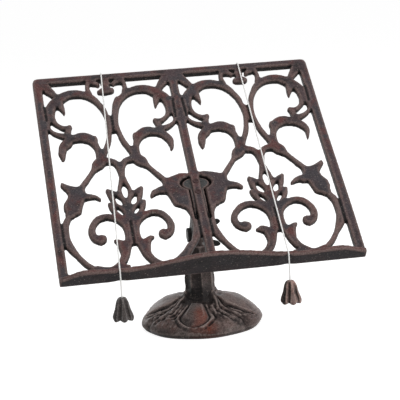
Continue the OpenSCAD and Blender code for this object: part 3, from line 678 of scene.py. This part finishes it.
# Lines of the relief as (radius, degrees from the front)
LOBE_EDGE = [(16, 66), (24, 61), (33, 55), (40, 58), (46, 63), (52, 70), (57, 78), (64, 84)]
ROOT_LINE = [(16, 55), (24, 47), (34, 38), (43, 37), (50, 42), (56, 47), (64, 52)]

# The front tongue: half width as (radius, millimetres), end, and lines around it as (height, place, width)
TONGUE_HALF = [(16, 6), (30, 6.8), (35, 8.2), (40, 9.7), (45, 11.6), (50, 13.6), (64, 15)]
TONGUE_END, TONGUE_ROUND = 55, 11
TONGUE_HEIGHT, TONGUE_CROWN = 2.2, 0.9
TONGUE_RIM = [(-1.3, 1.2, 0.1), (0.9, 1.4, 0.1), (-0.6, 1.6, 0.09)]

# Heights and depths of the other relief, in millimetres
LOBE_HEIGHT, LOBE_SHOULDER, LOBE_SINK, LOBE_GUTTER = 3.4, 1.4, 2.2, 1.3
ROOT_HEIGHT, ROOT_GUTTER = 1.4, 0.9
FOLD_HEIGHT, FINE_FOLD_HEIGHT = 1.0, 0.45
MOUND_HEIGHT = 1.1
FRONT_HOLLOW = 6
RIM_RIPPLE, RIM_PITCH = 0.35, 3.4
RIM_DIP, RIM_NOTCH = 1.2, 1.5

# Rough skin of the casting and of its leaves, as (height, scale, seed) of each layer of noise
SKIN = [(0.3, 130, 7.0), (0.12, 340, 2.0)]
LEAF_SKIN = [(0.9, 170, 11.0), (0.5, 330, 5.0)]

# Rub of the pedestal's places, partly painted light on upward and right-facing faces and painted sheen on the
# lobes,
# # with the painted light the right side adds, and how dark (painted shade) and dull the hollow stays
PLAIN_RUB, UPWARD_LIGHT, LOBE_RUB_AND_SHEEN, RIM_RUB, SIDE_LIGHT = 0.24, 0.24, 0.55, 0.3, 0.4
TONGUE_RUB, TONGUE_RIGHT_LIGHT = 0.05, 0.3
MOUND_RUB, MOUND_RIGHT_LIGHT = 0.15, 0.4
HOLLOW_SHADE, HOLLOW_DULL = 0.36, 0.95

# Rust on the tongue, below it and on the left mound, how far the rest is without, and gloss
TONGUE_RUST, BELOW_RUST, MOUND_RUST = 0.75, 0.6, 0.5
CALM = 0.8
PLAIN_GLOSS, LOBE_GLOSS = 0.4, 0.6


def line_at(points, r):
    """Value at a radius of a smooth line through (radius, value) points."""
    line, _ = spline([(x, y, 0) for x, y in points], 0.5)
    return np.interp(r, line[:, 0], line[:, 1])


def foot_map(x, y):
    """Where places lie on the foot, in millimetres and radians.

    Gives the radius, the turn from the front, the turn folded to one quarter, the distances past the lobe's
    edge and past the root, and the distance from the tongue's middle in half widths.
    """
    r = np.hypot(x, y)
    turn = (np.arctan2(x, -y) - FOOT_TURN + math.pi) % (2 * math.pi) - math.pi
    fold = np.minimum(np.abs(turn), math.pi - np.abs(turn))
    lobe = (fold - np.radians(line_at(LOBE_EDGE, r))) * r
    root = (fold - np.radians(line_at(ROOT_LINE, r))) * r
    tongue = np.hypot(r * np.sin(fold) / line_at(TONGUE_HALF, r),
                      np.maximum(r - TONGUE_END + TONGUE_ROUND, 0) / TONGUE_ROUND)
    return r, turn, fold, lobe, root, tongue


def ripples(share, wander, broad, fine):
    """Wandering folds across a band: so many broad ones and so many fine ones."""
    folds = FOLD_HEIGHT * np.cos(2 * math.pi * (broad * share + wander))
    return folds + FINE_FOLD_HEIGHT * np.cos(2 * math.pi * (fine * share - 2 * wander))


def foot_relief(x, y):
    """Height of the foot's face over its plain profile, in millimetres."""
    r, turn, fold, lobe, root, tongue = foot_map(x, y)
    rising = step_up(17, 24, r)
    fading = 1 - step_up(54, 62, r)

    # Smooth lobes at the sides, each with a gutter along its edge
    on_lobe = step_up(-0.8, 1.4, lobe)
    lift = LOBE_HEIGHT * on_lobe * (0.7 + 0.3 * step_up(0, 18, lobe)) * rising * (1 - step_up(50, 63, r))
    lift += (LOBE_SHOULDER * crest(r, 40, 8) - LOBE_SINK * (1 - step_up(19, 29, r))) * on_lobe
    lift -= LOBE_GUTTER * crest(lobe, -1.9, 1.3) * rising * fading

    # Roots, and folds between root and lobe
    lift += (ROOT_HEIGHT * crest(root, 0, 1.9) - ROOT_GUTTER * crest(root, -3.6, 1.4)) * rising * fading
    band = np.clip(root / np.maximum(root - lobe, 1), 0, 1)
    between = step_up(0.0, 0.2, band) * (1 - step_up(0.8, 1.0, band))
    wander = 0.16 * np.sin(0.16 * r + 1.4 * np.sign(turn)) + 0.1 * np.sin(0.31 * r + 5 * fold)
    lift += ripples(band, wander, 2, 5) * between * rising * fading

    # Veins between tongue and root, and a mound at their end
    beside = r * np.sin(fold) - line_at(TONGUE_HALF, r)
    flow = np.clip(beside / np.maximum(beside - root, 1), 0, 1)
    within = step_up(0.15, 0.35, flow) * (1 - step_up(0.75, 0.95, flow)) * step_up(24, 30, r)
    lift += ripples(flow, wander, 1.5, 4) * within * (1 - step_up(50, 58, r))
    lift += MOUND_HEIGHT * crest(r, 57, 5) * crest(fold, 0.58, 0.22)

    # Tongue with its rim
    raised = TONGUE_HEIGHT * (1 - step_up(0.72, 1.05, tongue)) + TONGUE_CROWN * np.clip(1 - tongue, 0, 1)
    for height, at, width in TONGUE_RIM:
        raised += height * crest(tongue, at, width)
    lift += step_up(24, 31, r) * raised

    # Hollow in front of the stem, the stem's flutes running out, and the outer rim
    lift -= FRONT_HOLLOW * (1 - step_up(18, 33, r)) * (1 - step_up(-7, 1, root))
    lift -= FLUTE_DEPTH * (1 - step_up(20, 27, r)) * (1 - np.cos(FLUTES * np.arctan2(x, -y))) / 2
    lift += RIM_RIPPLE * step_up(1.1, 1.3, fold) * step_up(51, 54, r) * np.cos(2 * math.pi * r / RIM_PITCH)
    lift -= RIM_DIP * crest(fold, 0.95, 0.08) * step_up(54, 60, r)
    return lift


def skin_at(co, layers):
    """Sum of layers of noise, each given as (height, scale, seed)."""
    return sum(height * noise_at(co, scale, seed) for height, scale, seed in layers)


pedestal = fused("pedestal_casting", ["foot", "stem"], PEDESTAL_VOXEL, PEDESTAL_ROUNDING, PEDESTAL_IRON_LIT)
mesh = pedestal.data
co, normal = points_of(mesh), normals_of(mesh)
x, y, z = (co / MM).T
r, _, fold, _, _, _ = foot_map(x, y)
on_face = step_up(0.1, 0.4, normal[:, 2]) * step_up(3, 7, z) * step_up(14.5, 16.0, r)
co[:, 2] += on_face * (line_at(FOOT_PROFILE, r) + foot_relief(x, y) - z) * MM
notch = RIM_NOTCH * crest(fold, 0.96, 0.07) * step_up(53, 61, r) * step_up(0, 3, z)
stouter = STEM_STOUTER * step_up(40, 47, z) * (1 - step_up(66, 76, z))
co[:, :2] *= (1 + stouter - notch / np.maximum(r, 1))[:, None]
set_points(mesh, co)
relax(mesh, 1)
co, normal = points_of(mesh), normals_of(mesh)
x, y, z = (co / MM).T
r, turn, fold, lobe, root, tongue = foot_map(x, y)
leafy = step_up(30, 38, r) * (1 - step_up(58, 62, r)) * (1 - step_up(-3, 0, lobe))
leafy *= step_up(1.1, 1.6, tongue)
rough_skin = skin_at(co, SKIN) + leafy * skin_at(co, LEAF_SKIN)
rough_skin *= step_up(1, 4, z) * (1 - 0.8 * step_up(36, 42, z))
co += (rough_skin * MM)[:, None] * normal
set_points(mesh, co)

# Lobes, tongue and mounds are rubbed and lit in colour, more so on the right as painted light, and the hollow
# in front of the stem stays dark as painted shade
co, normal = points_of(mesh), normals_of(mesh)
x, y, z = (co / MM).T
r, turn, fold, lobe, root, tongue = foot_map(x, y)
up_face = step_up(0.05, 0.7, normal[:, 2])
to_right = step_up(-0.15, 0.1, turn)
on_lobe = step_up(-0.5, 1.5, lobe) * up_face
on_tongue = (1 - step_up(1.0, 1.15, tongue)) * step_up(24, 31, r) * up_face
on_mound = crest(r, 58, 6) * crest(fold, 0.6, 0.3) * up_face
left_mound = on_mound * (1 - to_right)
below = step_up(-0.15, 0.0, turn) * (1 - step_up(0.25, 0.5, turn)) * step_up(48, 54, r) * (1 - on_tongue)
deep = (1 - step_up(24, 36, r)) * (1 - step_up(-4, 2, root)) * (1 - step_up(36, 44, z))
mark_edges(mesh, PEDESTAL_BULGE, keep=1 - HOLLOW_DULL * deep)
# Upward faces and lobes are lighter as painted light and sheen, right-facing sides as painted light from the
# lamps at the right, and the hollow darker as painted shade
rub_and_light = PLAIN_RUB + UPWARD_LIGHT * up_face + LOBE_RUB_AND_SHEEN * on_lobe
rub_and_light += (TONGUE_RUB + TONGUE_RIGHT_LIGHT * to_right) * on_tongue
rub_and_light += (MOUND_RUB + MOUND_RIGHT_LIGHT * to_right) * on_mound
rub_and_light += RIM_RUB * up_face * step_up(1.0, 1.2, fold) * step_up(44, 52, r) - HOLLOW_SHADE * deep
rub_and_light += (1 - up_face) * SIDE_LIGHT * np.clip(normal[:, 0] + 0.2, -0.5, 1)
mark(mesh, "rub_and_light", rub_and_light)
red = to_right * on_tongue * step_up(28, 44, r)
mark(mesh, "rust", TONGUE_RUST * red + BELOW_RUST * below + MOUND_RUST * left_mound)
mark(mesh, "calm", CALM * (1 - np.clip(red + below + MOUND_RUST * left_mound, 0, 1)))
mark(mesh, "gloss", (PLAIN_GLOSS + LOBE_GLOSS * on_lobe) * up_face)
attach(pedestal, "pedestal")

# Bracket, with a raised seat inside the keyhole: half width, half height and middle of its head, and its neck
KEYHOLE_HALF_U, KEYHOLE_HALF_S, KEYHOLE_S = 16.25, 9.5, 109.5
NECK_HALF_U, NECK_S = 8.5, (62, 88)
# How far the seat rises, and the painted light on its forward faces
SEAT_RISE, SEAT_LIGHT = 5.0, 0.16
BRACKET_VOXEL = 0.7 * MM
BRACKET_BULGE = 0.07 * MM
bracket = fused("bracket_casting", ["tilt_bracket"], BRACKET_VOXEL, ROUNDING, BRACKET_IRON)
mesh = bracket.data
co = points_of(mesh)
u, s, n = panel_coords(co)
head = 1 - step_up(0.8, 0.97, np.hypot(u / KEYHOLE_HALF_U, (s - KEYHOLE_S) / KEYHOLE_HALF_S))
neck = (1 - step_up(NECK_HALF_U - 2, NECK_HALF_U - 0.6, abs(u))) * step_up(*NECK_S, s)
neck *= 1 - step_up(KEYHOLE_S - 4, KEYHOLE_S, s)
seat = np.maximum(head, neck) * step_up(-9.2, -8.4, n)
co += (SEAT_RISE * seat * MM)[:, None] * FORWARD
set_points(mesh, co)
mark_edges(mesh, BRACKET_BULGE)
# The seat's forward faces take the bracket's lighter face colour as painted light
mark(mesh, "rub_and_light", SEAT_LIGHT * step_up(0.7, 0.95, normals_of(mesh) @ FORWARD))
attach(bracket, "bookrest")

# Each weight flares straight to a hem of petals
WEIGHT_VOXEL = 0.5 * MM
WEIGHT_BULGE = 0.06 * MM
PETALS, PETAL_DROP = 6, 0.9
WAIST = 0.12
# Base rub of the weights and the painted light on their tops; each weight also gets painted light on its
# right-facing side
WEIGHT_RUB, WEIGHT_TOP_LIGHT = 0.6, 0.25
for label, iron, side_light in (("left", LEFT_IRON, 0.25), ("right", RIGHT_IRON_LIT, 0.85)):
    weight = fused(label + "_weight_casting", [label + "_weight"], WEIGHT_VOXEL, ROUNDING, iron)
    mesh = weight.data
    co = points_of(mesh)
    middle = (co.min(axis=0) + co.max(axis=0)) / 2
    x, y = (co - middle)[:, :2].T / MM
    high = (co[:, 2] - co[:, 2].min()) / np.ptp(co[:, 2])
    petal = -np.cos(PETALS * np.arctan2(y, x)) * step_up(3, 7, np.hypot(x, y))
    co[:, 2] -= PETAL_DROP * petal * (1 - step_up(0, 0.4, high)) * MM
    co[:, :2] = middle[:2] + (co - middle)[:, :2] * (1 - WAIST * crest(high, 0.5, 0.25))[:, None]
    set_points(mesh, co)
    mark_edges(mesh, WEIGHT_BULGE)
    normal = normals_of(mesh)
    # Tops and right-facing sides are lighter as painted light from the lamps above and at the right
    mark(mesh, "rub_and_light", WEIGHT_RUB + WEIGHT_TOP_LIGHT * normal[:, 2] + side_light * normal[:, 0])
    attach(weight, label + "_plumb")

# Hardware keeps its CAD solids, with softened edges
SOFT_EDGE = 0.25 * MM
for node in ("foot_bolt", "foot_washer", "pivot_bolt", "pivot_washer", "wing_nut", "bracket_screws"):
    obj = nodes[node]
    obj.data.materials.clear()
    obj.data.materials.append(SCREW if node == "bracket_screws" else STEEL)
    bevel = obj.modifiers.new("soft_edges", "BEVEL")
    bevel.width = SOFT_EDGE
    bevel.segments = 2
    bevel.limit_method = "ANGLE"

# Floor, world and lamps
FLOOR_HALF = 30
FLOOR_GREY, FLOOR_GLOW = 0.5, 0.84
SKY_LIGHT, SKY_SHOWN = 0.3, 1.0


def looked_at(tree):
    """One for rays that show the background itself: from the camera, in reflections and through glass."""
    rays = tree.nodes.new("ShaderNodeLightPath")
    value = rays.outputs["Is Camera Ray"]
    for kind in ("Is Glossy Ray", "Is Transmission Ray"):
        either = tree.nodes.new("ShaderNodeMath")
        either.operation = "MAXIMUM"
        tree.links.new(value, either.inputs[0])
        tree.links.new(rays.outputs[kind], either.inputs[1])
        value = either.outputs[0]
    return value


def floor_paper(name):
    """Grey to the object's light, so that it keeps the shadow, and nearly white where it is looked at."""
    paper = bpy.data.materials.new(name)
    paper.use_nodes = True
    tree = paper.node_tree
    tree.nodes.clear()
    out = tree.nodes.new("ShaderNodeOutputMaterial")
    diffuse = tree.nodes.new("ShaderNodeBsdfDiffuse")
    diffuse.inputs["Color"].default_value = (FLOOR_GREY, FLOOR_GREY, FLOOR_GREY, 1)
    glow = tree.nodes.new("ShaderNodeEmission")
    level = tree.nodes.new("ShaderNodeMath")
    level.operation = "MULTIPLY"
    level.inputs[1].default_value = FLOOR_GLOW
    tree.links.new(looked_at(tree), level.inputs[0])
    tree.links.new(level.outputs[0], glow.inputs["Strength"])
    both = tree.nodes.new("ShaderNodeAddShader")
    tree.links.new(diffuse.outputs[0], both.inputs[0])
    tree.links.new(glow.outputs[0], both.inputs[1])
    tree.links.new(both.outputs[0], out.inputs["Surface"])
    return paper


corners = [(FLOOR_HALF * a, FLOOR_HALF * b, 0) for a, b in ((-1, -1), (1, -1), (1, 1), (-1, 1))]
floor = add_mesh("floor", corners, [(0, 1, 2, 3)], floor_paper("floor_paper"))

world = bpy.data.worlds.new("world")
scene.world = world
world.use_nodes = True
tree = world.node_tree
sky = tree.nodes["Background"]
sky.inputs["Color"].default_value = (1, 1, 1, 1)
level = tree.nodes.new("ShaderNodeMapRange")
level.inputs["To Min"].default_value = SKY_LIGHT
level.inputs["To Max"].default_value = SKY_SHOWN
tree.links.new(looked_at(tree), level.inputs["Value"])
tree.links.new(level.outputs["Result"], sky.inputs["Strength"])


def lamp(name, at, aim, size, watts):
    """A square lamp at one point, turned to another."""
    data = bpy.data.lights.new(name, "AREA")
    data.size = size
    data.energy = watts
    obj = bpy.data.objects.new(name, data)
    scene.collection.objects.link(obj)
    obj.location = at
    obj.rotation_euler = (Vector(aim) - Vector(at)).to_track_quat("-Z", "Y").to_euler()


lamp("key", (0.7, -0.9, 1.5), (0, 0, 0.12), 0.8, 8)
lamp("top", (-0.1, 0.3, 1.6), (0, 0, 0.1), 1.2, 7)
lamp("front", (0.9, -1.35, 0.38), (0, 0, 0.06), 0.7, 10)
lamp("fill", (-1.3, -1.0, 0.7), (0, 0, 0.1), 1.0, 3)
lamp("back", (-0.7, 1.5, 0.7), (0, 0, 0.12), 1.0, 5)

scene.view_settings.view_transform = "Standard"
